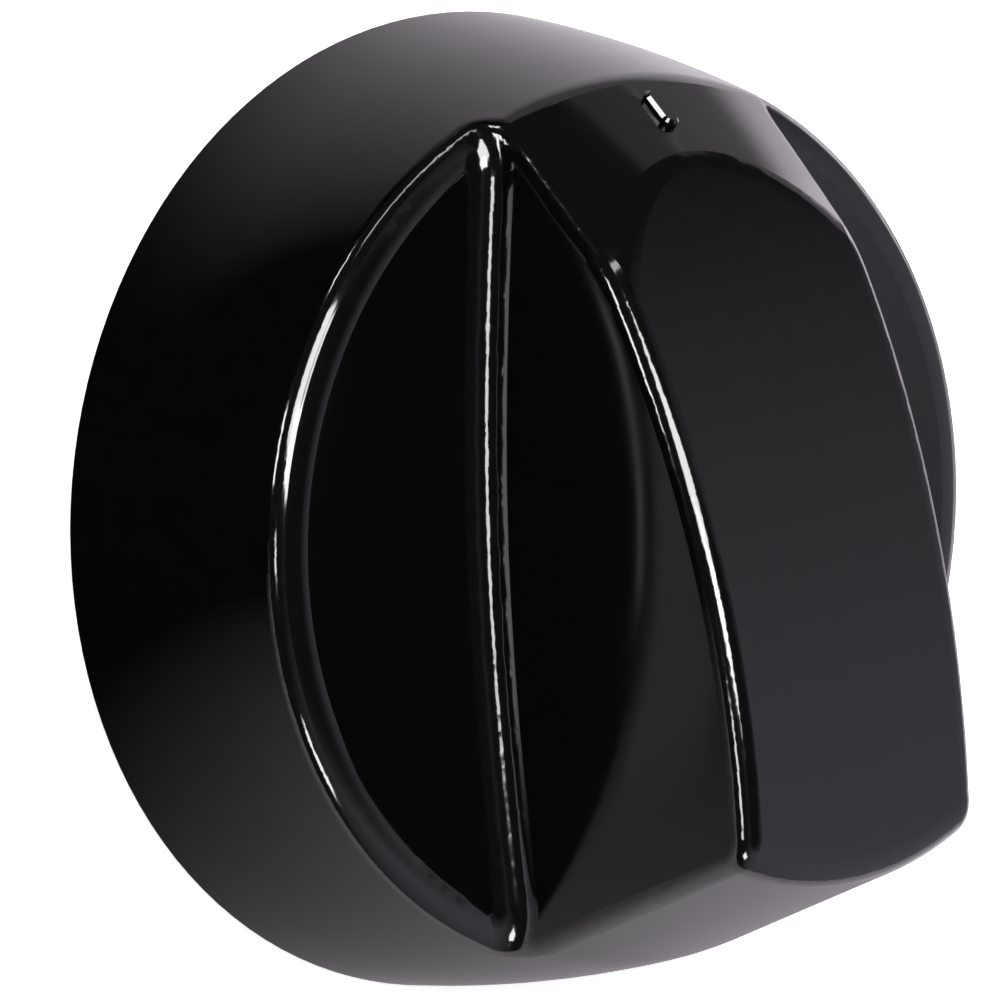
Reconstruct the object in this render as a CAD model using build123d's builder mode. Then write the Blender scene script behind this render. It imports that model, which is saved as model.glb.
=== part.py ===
"""Grill control knob: one black moulding with a wedge grip, and the spring clip on its split boss.

Units are millimetres. Z is the turning axis and points at the user. The back rim stands on z = 0,
and +Y is the side of the pointer mark.
"""
import os
from math import hypot, radians, sqrt, tan

from build123d import *

os.makedirs("parts", exist_ok=True)

# Skirt: a slightly barrelled cone that opens towards the panel
skirt_back_radius = 22.5
skirt_curve_radius = 77.0
skirt_curve_depth = 8.1
back_edge_chamfer = 0.3

# Finger scoops: floors either side of the grip that fall towards it, rolled over at the rim
scoop_rim_height = 12.45
scoop_floor_tilt = 4.0
rim_roll_radius = 1.8
rim_roll_turn = 35.0
rim_roll_width = 1.35
crease_radius = 1.6

# Grip: side walls that bow at the scoops and run straight along the crown
grip_rim_half_width = 8.31
grip_bow_radius = 310.0
grip_top_half_width = 6.82
grip_edge_radius = 1.0

# Front face: a crown along the grip, from the bend over the shoulder up to the far end
crown_radius = 50.0
crown_bend_height = 17.05
crown_far_height = 26.78

# Ends of the grip: a sloped shoulder under the pointer mark, and a steeper end opposite
shoulder_rise = 0.6
shoulder_slope = 0.87
shoulder_blend_radius = 2.0
shoulder_bend_radius = 4.0
far_end_rise = 1.6
far_end_slope = 0.41
far_end_blend_radius = 15.0
far_end_edge_radius = 1.7

# Pointer mark: a short raised rib on the shoulder
mark_length = 2.2
mark_width = 0.9
mark_height = 0.4
mark_edge_chamfer = 0.15
mark_rise = 1.75

# Hollow back: an even wall, a boss on the axis and four ribs
wall_thickness = 2.2
boss_radius = 5.2
boss_mouth_height = 1.0
rib_thickness = 1.4
rib_foot_height = 7.6

# Spindle socket: a round lead-in at the mouth, then a D for a 6 mm spindle with a flat
socket_radius = 3.05
socket_flat_offset = 1.65
socket_depth = 18.5
lead_in_radius = 3.4
lead_in_depth = 2.0
slot_width = 1.2
slot_depth = 6.0

# Retaining clip: a spring band in a groove round the split boss
clip_thickness = 0.6
clip_width = 3.4
clip_mouth_distance = 1.4
clip_gap = 2.4
clip_ear_length = 1.3
clip_clearance = 0.05
groove_depth = 0.35

# Room past the knob's surfaces for the solids that cut it, and what counts as lying on a surface
spare = 3.0
touch = 0.01


def skirt_radius(height):
    """Outer radius of the skirt at a height above the back rim."""
    at_back = sqrt(skirt_curve_radius**2 - skirt_curve_depth**2)
    here = sqrt(skirt_curve_radius**2 - (height + skirt_curve_depth) ** 2)
    return skirt_back_radius - at_back + here


def end_radius(height, rise, slope):
    """Radius of a sloped end of the grip at a height above the back rim."""
    foot = scoop_rim_height + rise
    return skirt_radius(foot) - slope * (height - foot)


# The crown's circle, seen from the side, through the two places where it meets the ends of the grip
bend_y = end_radius(crown_bend_height, shoulder_rise, shoulder_slope)
far_y = -end_radius(crown_far_height, far_end_rise, far_end_slope)
crown_chord = hypot(bend_y - far_y, crown_far_height - crown_bend_height)
crown_drop = sqrt(crown_radius**2 - (crown_chord / 2) ** 2) / crown_chord
crown_centre_y = (bend_y + far_y) / 2 - crown_drop * (crown_far_height - crown_bend_height)
crown_centre_height = (crown_bend_height + crown_far_height) / 2 - crown_drop * (bend_y - far_y)
crown_top_height = crown_centre_height + crown_radius


def half_turn(inset, rise, slope, blend, outside, arc):
    """Half of the turned form: skirt to just above the scoop floor, then a straight end up to the axis."""
    height = scoop_rim_height + rise - inset
    start, middle, end = [(skirt_radius(z) - inset, z) for z in (0, height / 2, height)]
    with BuildPart() as half:
        with BuildSketch(Plane.XZ) as section:
            with BuildLine():
                if outside:
                    ThreePointArc(start, middle, end)
                else:
                    Line(start, end)
                Polyline(end, (0, height + end[0] / slope), (0, 0), start)
            make_face()
            fillet(section.vertices().sort_by_distance((*end, 0))[0], radius=blend)
            if outside:
                chamfer(section.vertices().sort_by_distance((*start, 0))[0], length=back_edge_chamfer)
        revolve(axis=Axis.Z, revolution_arc=arc)
    return half.part


def grip_block(inset):
    """The block between the grip's two walls, from below the scoop floors to above the crown."""
    reach = skirt_back_radius + spare
    rim_middle = grip_rim_half_width - inset
    rim_end = rim_middle - grip_bow_radius + sqrt(grip_bow_radius**2 - reach**2)
    top = grip_top_half_width - inset
    with BuildPart() as block:
        for height in (scoop_rim_height - inset - rim_roll_radius - spare, crown_top_height + spare):
            share = (height - scoop_rim_height) / (crown_top_height - scoop_rim_height)
            middle = rim_middle + share * (top - rim_middle)
            end = rim_end + share * (top - rim_end)
            with BuildSketch(Plane.XY.offset(height)):
                with BuildLine():
                    right = ThreePointArc((end, -reach), (middle, 0), (end, reach))
                    left = ThreePointArc((-end, reach), (-middle, 0), (-end, -reach))
                    Line(right @ 1, left @ 0)
                    Line(left @ 1, right @ 0)
                make_face()
        loft(ruled=True)
    return block.part


def scoop_cutter(inset, outside):
    """What the scoops take away: all above the floors and the rolled or bevelled rim, apart from the grip."""
    rim = scoop_rim_height - inset
    top = crown_top_height + spare
    roll_start = skirt_radius(scoop_rim_height) - inset - rim_roll_width
    floor_low = rim - roll_start * tan(radians(scoop_floor_tilt))
    block = grip_block(inset)
    with BuildPart() as cutter:
        with BuildSketch(Plane.XZ):
            with BuildLine():
                floor = Line((0, floor_low), (roll_start, rim))
                roll = JernArc(floor @ 1, floor % 1, rim_roll_radius, -rim_roll_turn, mode=Mode.PRIVATE)
                add(roll if outside else Line(roll @ 0, roll @ 1, mode=Mode.PRIVATE))
                run = Line(roll @ 1, roll @ 1 + roll % 1 * spare)
                Polyline(run @ 1, ((run @ 1).X, top), (0, top), floor @ 0)
            make_face()
        revolve(axis=Axis.Z)
        add(block, mode=Mode.SUBTRACT)
        if outside:
            floor_edges = cutter.edges().filter_by_position(Axis.Z, floor_low, rim + touch)
            fillet(floor_edges.sort_by(lambda edge: abs(edge.center().X))[:2], radius=crease_radius)
    return cutter.part


def knob_form(inset, outside):
    """The knob's form with its scoops cut and its upper edges sharp, drawn in from the outside by an inset."""
    pointer_half = half_turn(inset, shoulder_rise, shoulder_slope, shoulder_blend_radius, outside, 180)
    far_half = half_turn(inset, far_end_rise, far_end_slope, far_end_blend_radius, outside, -180)
    scoops = scoop_cutter(inset, outside)
    with BuildPart() as form:
        add(pointer_half)
        add(far_half)
        with BuildSketch(Plane.YZ):
            with Locations((crown_centre_y, crown_centre_height)):
                Circle(crown_radius - inset)
        extrude(amount=skirt_back_radius, both=True, mode=Mode.INTERSECT)
        add(scoops, mode=Mode.SUBTRACT)
    return form.part


def crown_ends(edges):
    """The edges across the two ends of the crown, the far end first and the shoulder last."""

    def across_crown(edge):
        middle = edge @ 0.5
        off_crown = hypot(middle.Y - crown_centre_y, middle.Z - crown_centre_height) - crown_radius
        return abs(off_crown) < touch and abs(middle.X) < touch

    return edges.filter_by(across_crown).sort_by(Axis.Y)


def scoop_rims(edges):
    """The edges where the rolled rims of the scoops meet the skirt."""

    def on_rim(edge):
        middle = edge @ 0.5
        off_skirt = hypot(middle.X, middle.Y) - skirt_radius(middle.Z)
        beside_grip = abs(middle.X) > grip_rim_half_width + crease_radius
        return abs(off_skirt) < touch and beside_grip and middle.Z > scoop_rim_height - rim_roll_radius

    return edges.filter_by(on_rim)


outer_form = knob_form(0, True)
inner_form = knob_form(wall_thickness, False)

# The hollow, with the boss and its ribs left standing in it
with BuildPart() as hollow:
    add(inner_form)
    with BuildSketch(Plane.XY.offset(boss_mouth_height)):
        Circle(boss_radius)
    extrude(amount=crown_top_height, mode=Mode.SUBTRACT)
    with BuildSketch(Plane.XY.offset(rib_foot_height)):
        Rectangle(rib_thickness, 2 * skirt_back_radius)
        Rectangle(2 * skirt_back_radius, rib_thickness)
    extrude(amount=crown_top_height, mode=Mode.SUBTRACT)

# The shoulder's surface under the mark: the mark lies along the slope
mark_height_up = scoop_rim_height + shoulder_rise + mark_rise
mark_place = (0, end_radius(mark_height_up, shoulder_rise, shoulder_slope), mark_height_up)
mark_plane = Plane(origin=mark_place, x_dir=(1, 0, 0), z_dir=(0, 1, shoulder_slope))
groove_height = boss_mouth_height + clip_mouth_distance
groove_radius = boss_radius - groove_depth

with BuildPart() as knob_body:
    add(outer_form)
    # Rounded edges: the soft bend of the shoulder, the far end, then one chain round each scoop
    fillet(crown_ends(knob_body.edges())[-1], radius=shoulder_bend_radius)
    fillet(crown_ends(knob_body.edges())[0], radius=far_end_edge_radius)
    fillet(scoop_rims(knob_body.edges()), radius=grip_edge_radius)
    # Pointer mark
    with BuildSketch(mark_plane.offset(-mark_height)):
        SlotOverall(mark_length, mark_width, rotation=90)
    extrude(amount=2 * mark_height)
    mark_top = knob_body.faces(Select.LAST).sort_by(Axis(mark_plane.origin, mark_plane.z_dir))[-1]
    chamfer(mark_top.edges(), length=mark_edge_chamfer)
    # Hollow back and the spindle socket in its boss
    add(hollow.part, mode=Mode.SUBTRACT)
    with BuildSketch(Plane.XY.offset(boss_mouth_height)):
        Circle(socket_radius)
        with Locations((0, socket_flat_offset)):
            Rectangle(2 * socket_radius, socket_radius, align=(Align.CENTER, Align.MIN), mode=Mode.SUBTRACT)
    extrude(amount=socket_depth, mode=Mode.SUBTRACT)
    with BuildSketch(Plane.XY.offset(boss_mouth_height)):
        Circle(lead_in_radius)
    extrude(amount=lead_in_depth, mode=Mode.SUBTRACT)
    with BuildSketch(Plane.XY.offset(boss_mouth_height)):
        Rectangle(2 * boss_radius, slot_width)
    extrude(amount=slot_depth, mode=Mode.SUBTRACT)
    with BuildSketch(Plane.XY.offset(groove_height)):
        Circle(boss_radius + spare)
        Circle(groove_radius, mode=Mode.SUBTRACT)
    extrude(amount=clip_width + 2 * clip_clearance, mode=Mode.SUBTRACT)

knob_body.part.label = "knob_body"
export_step(knob_body.part, "parts/knob_body.step")

clip_inner_radius = groove_radius + clip_clearance
clip_outer_radius = clip_inner_radius + clip_thickness
with BuildPart() as retaining_clip:
    with BuildSketch(Plane.XY.offset(groove_height + clip_clearance)):
        Circle(clip_outer_radius)
        Circle(clip_inner_radius, mode=Mode.SUBTRACT)
        with Locations((clip_inner_radius, 0)):
            Rectangle(2 * clip_inner_radius, clip_gap, mode=Mode.SUBTRACT)
        with Locations((clip_inner_radius, clip_gap / 2), (clip_inner_radius, -clip_gap / 2 - clip_thickness)):
            Rectangle(clip_thickness + clip_ear_length, clip_thickness, align=(Align.MIN, Align.MIN))
    extrude(amount=clip_width)

retaining_clip.part.label = "retaining_clip"
export_step(retaining_clip.part, "parts/retaining_clip.step")
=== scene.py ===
"""Grill control knob: a glossy black moulding lying on its back, seen from the left of its front face."""
from math import cos, pi, radians, sin

import bpy
from mathutils import Matrix, Vector

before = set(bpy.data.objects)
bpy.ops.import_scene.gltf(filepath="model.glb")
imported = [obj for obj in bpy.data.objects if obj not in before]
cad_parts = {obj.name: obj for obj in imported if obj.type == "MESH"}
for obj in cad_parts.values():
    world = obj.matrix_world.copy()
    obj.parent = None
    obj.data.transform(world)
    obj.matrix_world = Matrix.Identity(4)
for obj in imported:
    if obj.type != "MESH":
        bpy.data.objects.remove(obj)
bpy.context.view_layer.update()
scene = bpy.context.scene

# Knob body: one injection moulding of black, heat-resistant plastic, from a polished mould.
# The solid has all its rounded edges, so it only gets its finish here: a deep gloss that fingers have
# dulled a little in soft patches, over the faint ripple that a moulded face always has.
deep_black = (0.0014, 0.0014, 0.0015, 1)
soft_black = (0.0024, 0.0023, 0.0025, 1)
polished_roughness, handled_roughness = 0.07, 0.11
ripple_height = 0.000003


def finish(name):
    """A new material, with its nodes and the links between them."""
    material = bpy.data.materials.new(name)
    material.use_nodes = True
    return material, material.node_tree.nodes, material.node_tree.links


def patches(place, scale, detail):
    """Soft random patches over a surface, in the material that is being made."""
    noise = nodes.new("ShaderNodeTexNoise")
    noise.inputs["Scale"].default_value = scale
    noise.inputs["Detail"].default_value = detail
    links.new(place, noise.inputs["Vector"])
    return noise.outputs["Fac"]


def tint(source, start, stop, first, second):
    """A colour that goes from the first to the second while its source goes from start to stop."""
    ramp = nodes.new("ShaderNodeValToRGB")
    low_end, high_end = ramp.color_ramp.elements
    low_end.position = start
    low_end.color = first
    high_end.position = stop
    high_end.color = second
    links.new(source, ramp.inputs["Fac"])
    return ramp.outputs["Color"]


def fade(source, start, stop, low, high, kind="LINEAR"):
    """A value that goes from low to high while its source goes from start to stop, and stays there beyond."""
    ramp = nodes.new("ShaderNodeMapRange")
    ramp.interpolation_type = kind
    ramp.inputs["From Min"].default_value = start
    ramp.inputs["From Max"].default_value = stop
    ramp.inputs["To Min"].default_value = low
    ramp.inputs["To Max"].default_value = high
    links.new(source, ramp.inputs["Value"])
    return ramp.outputs["Result"]


moulding, nodes, links = finish("black_moulding")
gloss = nodes["Principled BSDF"]
gloss.inputs["IOR"].default_value = 1.6
surface = nodes.new("ShaderNodeTexCoord").outputs["Object"]
pigment = patches(surface, scale=900, detail=2)
links.new(tint(pigment, 0.3, 0.8, deep_black, soft_black), gloss.inputs["Base Color"])
handling = patches(surface, scale=140, detail=3)
dulled = fade(handling, 0.35, 0.75, polished_roughness, handled_roughness)
links.new(dulled, gloss.inputs["Roughness"])
relief = nodes.new("ShaderNodeBump")
relief.inputs["Strength"].default_value = 0.2
relief.inputs["Distance"].default_value = ripple_height
links.new(patches(surface, scale=260, detail=1), relief.inputs["Height"])
links.new(relief.outputs["Normal"], gloss.inputs["Normal"])
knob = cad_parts["knob_body"]
knob.data.materials.clear()
knob.data.materials.append(moulding)

# Retaining clip: a band of bright spring steel, bent round the boss with two small ears.
# It is blanked from rolled strip, so fine rolling lines run round the band, in its colour and its sheen.
dark_steel = (0.36, 0.36, 0.37, 1)
bright_steel = (0.56, 0.56, 0.57, 1)
smooth_roughness, worn_roughness = 0.22, 0.42
lines_round, lines_across = 150, 9000
strip, nodes, links = finish("spring_steel")
steel = nodes["Principled BSDF"]
steel.inputs["Metallic"].default_value = 1
surface = nodes.new("ShaderNodeTexCoord").outputs["Object"]
rolled = nodes.new("ShaderNodeMapping")
rolled.inputs["Scale"].default_value = (lines_round, lines_round, lines_across)
links.new(surface, rolled.inputs["Vector"])
lines = patches(rolled.outputs["Vector"], scale=1, detail=4)
links.new(tint(lines, 0.3, 0.7, dark_steel, bright_steel), steel.inputs["Base Color"])
links.new(fade(lines, 0, 1, smooth_roughness, worn_roughness), steel.inputs["Roughness"])
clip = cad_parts["retaining_clip"]
clip.data.materials.clear()
clip.data.materials.append(strip)

# Floor: a sheet of white paper, a hair below the knob's back rim. It shines a little where it is seen or
# mirrored, so that it stays white where the light falls off, and still takes the knob's shadow.
floor_size = 4
floor_gap = 0.0001


def combine(operation, first, second):
    """Two values joined by one sum, product, minimum or maximum."""
    joined = nodes.new("ShaderNodeMath")
    joined.operation = operation
    links.new(first, joined.inputs[0])
    links.new(second, joined.inputs[1])
    return joined.outputs["Value"]


bpy.ops.mesh.primitive_plane_add(size=floor_size, location=(0, 0, -floor_gap))
floor = bpy.context.object
floor.name = "floor"
paper, nodes, links = finish("paper")
sheet = nodes["Principled BSDF"]
sheet.inputs["Base Color"].default_value = (0.9, 0.9, 0.9, 1)
sheet.inputs["Specular IOR Level"].default_value = 0
sheet.inputs["Emission Color"].default_value = (0.75, 0.75, 0.75, 1)
ray = nodes.new("ShaderNodeLightPath")
seen = combine("MAXIMUM", ray.outputs["Is Camera Ray"], ray.outputs["Is Glossy Ray"])
seen = combine("MAXIMUM", seen, ray.outputs["Is Transmission Ray"])
links.new(seen, sheet.inputs["Emission Strength"])
floor.data.materials.append(paper)

# Table card: a painted reflection of the table, in place of the paper: a sheet hidden from the camera that
# glows by itself and only shows in the gloss. It gives no glow at the knob's left, for a painted dark
# reflection there, and glows paler towards the pointer's side, the far end and the right. Each glowing part
# is given by where it starts and where it is full, in metres from the knob's axis.
card_height = 0.0002
table_tint = (0.98, 0.92, 1, 1)
pointer_light, far_light, right_light = 1.3, 1.05, 1.1
pointer_start_x, pointer_full_x = -0.025, 0.020
pointer_start_y, pointer_full_y = 0.010, 0.026
pointer_dim_from, pointer_dim_to, pointer_dim_share = 0.035, 0.075, 0.35
far_start_y, far_full_y = -0.006, -0.062
right_start_x, right_full_x = 0.025, 0.060
right_full_half_width, right_half_width = 0.030, 0.070


def show_in_gloss_only(card):
    """Hides a card from the camera and from all light but what the gloss mirrors."""
    card.visible_camera = False
    card.visible_diffuse = False
    card.visible_shadow = False
    card.visible_transmission = False


bpy.ops.mesh.primitive_plane_add(size=floor_size, location=(0, 0, card_height))
card = bpy.context.object
card.name = "table_card"
# The card's material is a painted reflection: an emitting glow, with no glow for the dark at the knob's left.
painted_reflection, nodes, links = finish("table_card")
nodes.remove(nodes["Principled BSDF"])
split = nodes.new("ShaderNodeSeparateXYZ")
links.new(nodes.new("ShaderNodeTexCoord").outputs["Object"], split.inputs["Vector"])
along_x, along_y = split.outputs["X"], split.outputs["Y"]
off_middle = nodes.new("ShaderNodeMath")
off_middle.operation = "ABSOLUTE"
links.new(along_y, off_middle.inputs[0])
pointer_side = combine("MULTIPLY", fade(along_x, pointer_start_x, pointer_full_x, 0, pointer_light),
                       fade(along_y, pointer_start_y, pointer_full_y, 0, 1, "SMOOTHSTEP"))
pointer_dimming = fade(along_y, pointer_dim_to, pointer_dim_from, pointer_dim_share, 1, "SMOOTHSTEP")
pointer_side = combine("MULTIPLY", pointer_side, pointer_dimming)
far_side = fade(along_y, far_start_y, far_full_y, 0, far_light)
right_band = fade(off_middle.outputs["Value"], right_half_width, right_full_half_width, 0, 1, "SMOOTHSTEP")
right_side = combine("MULTIPLY", fade(along_x, right_start_x, right_full_x, 0, right_light, "SMOOTHSTEP"),
                     right_band)
table_light = combine("ADD", combine("MAXIMUM", pointer_side, far_side), right_side)
glow = nodes.new("ShaderNodeEmission")
glow.inputs["Color"].default_value = table_tint
links.new(table_light, glow.inputs["Strength"])
links.new(glow.outputs["Emission"], nodes["Material Output"].inputs["Surface"])
card.data.materials.append(painted_reflection)
show_in_gloss_only(card)

# Wall card: a painted reflection, a curved slip that glows by itself, hidden from the camera and no lamp,
# that slopes away round the knob's left, just below the scoop's rim. The grip's wall mirrors its glowing
# upper face over the rim as a pale patch. Its back and its ends are clear, so that the skirt stays dark.
slip_top_radius, slip_top_height = 0.0215, 0.0113
slip_foot_radius, slip_foot_height = 0.0395, 0.0019
slip_turn = radians(55)
slip_steps = 24
slip_light = 0.3
far_clear_y, far_white_y = -0.020, -0.010
pointer_white_y, pointer_clear_y = 0.012, 0.020
slip_corners = []
for step in range(slip_steps + 1):
    angle = pi + slip_turn * (2 * step / slip_steps - 1)
    for radius, height in ((slip_top_radius, slip_top_height), (slip_foot_radius, slip_foot_height)):
        slip_corners.append((radius * cos(angle), radius * sin(angle), height))
slip_faces = [(2 * step, 2 * step + 1, 2 * step + 3, 2 * step + 2) for step in range(slip_steps)]
slip_mesh = bpy.data.meshes.new("wall_card")
slip_mesh.from_pydata(slip_corners, [], slip_faces)
slip = bpy.data.objects.new("wall_card", slip_mesh)
scene.collection.objects.link(slip)
# The slip's material is a painted reflection: an emitting glow, not a white card.
painted_slip_reflection, nodes, links = finish("wall_card")
nodes.remove(nodes["Principled BSDF"])
split = nodes.new("ShaderNodeSeparateXYZ")
links.new(nodes.new("ShaderNodeTexCoord").outputs["Object"], split.inputs["Vector"])
along_y = split.outputs["Y"]
between_ends = combine("MULTIPLY", fade(along_y, far_clear_y, far_white_y, 0, 1, "SMOOTHSTEP"),
                       fade(along_y, pointer_clear_y, pointer_white_y, 0, 1, "SMOOTHSTEP"))
upper_face = fade(nodes.new("ShaderNodeNewGeometry").outputs["Backfacing"], 1, 0, 0, 1)
glow = nodes.new("ShaderNodeEmission")
glow.inputs["Strength"].default_value = slip_light
clear = nodes.new("ShaderNodeBsdfTransparent")
clear_or_white = nodes.new("ShaderNodeMixShader")
links.new(combine("MULTIPLY", between_ends, upper_face), clear_or_white.inputs["Fac"])
links.new(clear.outputs["BSDF"], clear_or_white.inputs[1])
links.new(glow.outputs["Emission"], clear_or_white.inputs[2])
links.new(clear_or_white.outputs["Shader"], nodes["Material Output"].inputs["Surface"])
slip_mesh.materials.append(painted_slip_reflection)
show_in_gloss_only(slip)

# Lamps: soft boxes on stands round the table, each turned to the knob. The large one at the upper left
# lights everything and draws the line on the grip's edge. The others only show in the gloss, most of them
# as bright lines along the rim, the crease and the mark.
lamp_distance = 0.8


def direction(azimuth, elevation):
    """The way from the knob to a place in the room, from two angles in degrees."""
    turned, lifted = radians(azimuth), radians(elevation)
    return Vector((cos(lifted) * cos(turned), cos(lifted) * sin(turned), sin(lifted)))


def soft_box(name, azimuth, elevation, width, height, radiance):
    """A lamp in one direction from the knob, whose brightness doesn't depend on its size."""
    box = bpy.data.lights.new(name, "AREA")
    box.shape = "RECTANGLE"
    box.size = width
    box.size_y = height
    box.energy = radiance * pi * width * height
    lamp = bpy.data.objects.new(name, box)
    scene.collection.objects.link(lamp)
    away = direction(azimuth, elevation)
    facing = away.to_track_quat("Z", "Y").to_matrix().to_4x4()
    lamp.matrix_world = Matrix.Translation(away * lamp_distance) @ facing
    return lamp


soft_box("edge_box", 143, 52, 0.36, 0.36, 15)
for gloss_lamp in (
    soft_box("low_edge_box", 160, 60, 0.18, 0.28, 18),
    soft_box("rim_strip", 95, 30, 0.50, 0.06, 7),
    soft_box("outer_rim_box", 162, 5, 0.22, 0.10, 18),
    soft_box("low_rim_box", -128, 30, 0.20, 0.14, 16),
    soft_box("crease_strip", -174, 32, 0.12, 0.12, 13),
    soft_box("mark_box", 124, 3, 0.14, 0.05, 18),
    soft_box("pointer_panel", 58, 3, 0.30, 0.10, 0.22),
):
    gloss_lamp.visible_diffuse = False

# Room: dim all round, with the soft glow of a window from the right of the front face. The glow ends at
# an angle from the window's middle, given by its cosine, and fades out under the lintel, given by heights
# on a sphere of radius 1.
window_azimuth, window_elevation = -40, 40
room_light, window_light = 0.05, 0.68
glow_end, glow_middle = 0.22, 1
lintel_top, lintel_foot = 0.95, 0.72
scene.world = bpy.data.worlds.new("studio")
scene.world.use_nodes = True
nodes, links = scene.world.node_tree.nodes, scene.world.node_tree.links
room = nodes["Background"]
room.inputs["Color"].default_value = (0.92, 0.88, 1, 1)
outward = nodes.new("ShaderNodeTexCoord").outputs["Generated"]
towards = nodes.new("ShaderNodeVectorMath")
towards.operation = "DOT_PRODUCT"
towards.inputs[1].default_value = direction(window_azimuth, window_elevation)
links.new(outward, towards.inputs[0])
spread = fade(towards.outputs["Value"], glow_end, glow_middle, room_light, window_light)
split = nodes.new("ShaderNodeSeparateXYZ")
links.new(outward, split.inputs["Vector"])
below_lintel = fade(split.outputs["Z"], lintel_top, lintel_foot, room_light, window_light, "SMOOTHSTEP")
links.new(combine("MINIMUM", spread, below_lintel), room.inputs["Strength"])

# Camera: a long lens in front of the knob, turned to its left and a little towards the pointer's side
camera_distance = 0.315
camera_yaw = radians(39.97)
camera_pitch = radians(5.87)
knob_turn = radians(2.5)
aim_right = 0.00186
turn = Matrix.Rotation(camera_pitch, 3, "X") @ Matrix.Rotation(camera_yaw, 3, "Y")
turn = turn @ Matrix.Rotation(knob_turn, 3, "Z")
camera_data = bpy.data.cameras.new("camera")
camera_data.sensor_width = 36
camera_data.lens = 246.2
camera_data.clip_start = 0.01
camera = bpy.data.objects.new("camera", camera_data)
scene.collection.objects.link(camera)
stand = turn.transposed() @ Vector((aim_right, 0, camera_distance))
camera.matrix_world = Matrix.Translation(stand) @ turn.transposed().to_4x4()
scene.camera = camera
scene.view_settings.view_transform = "Standard"
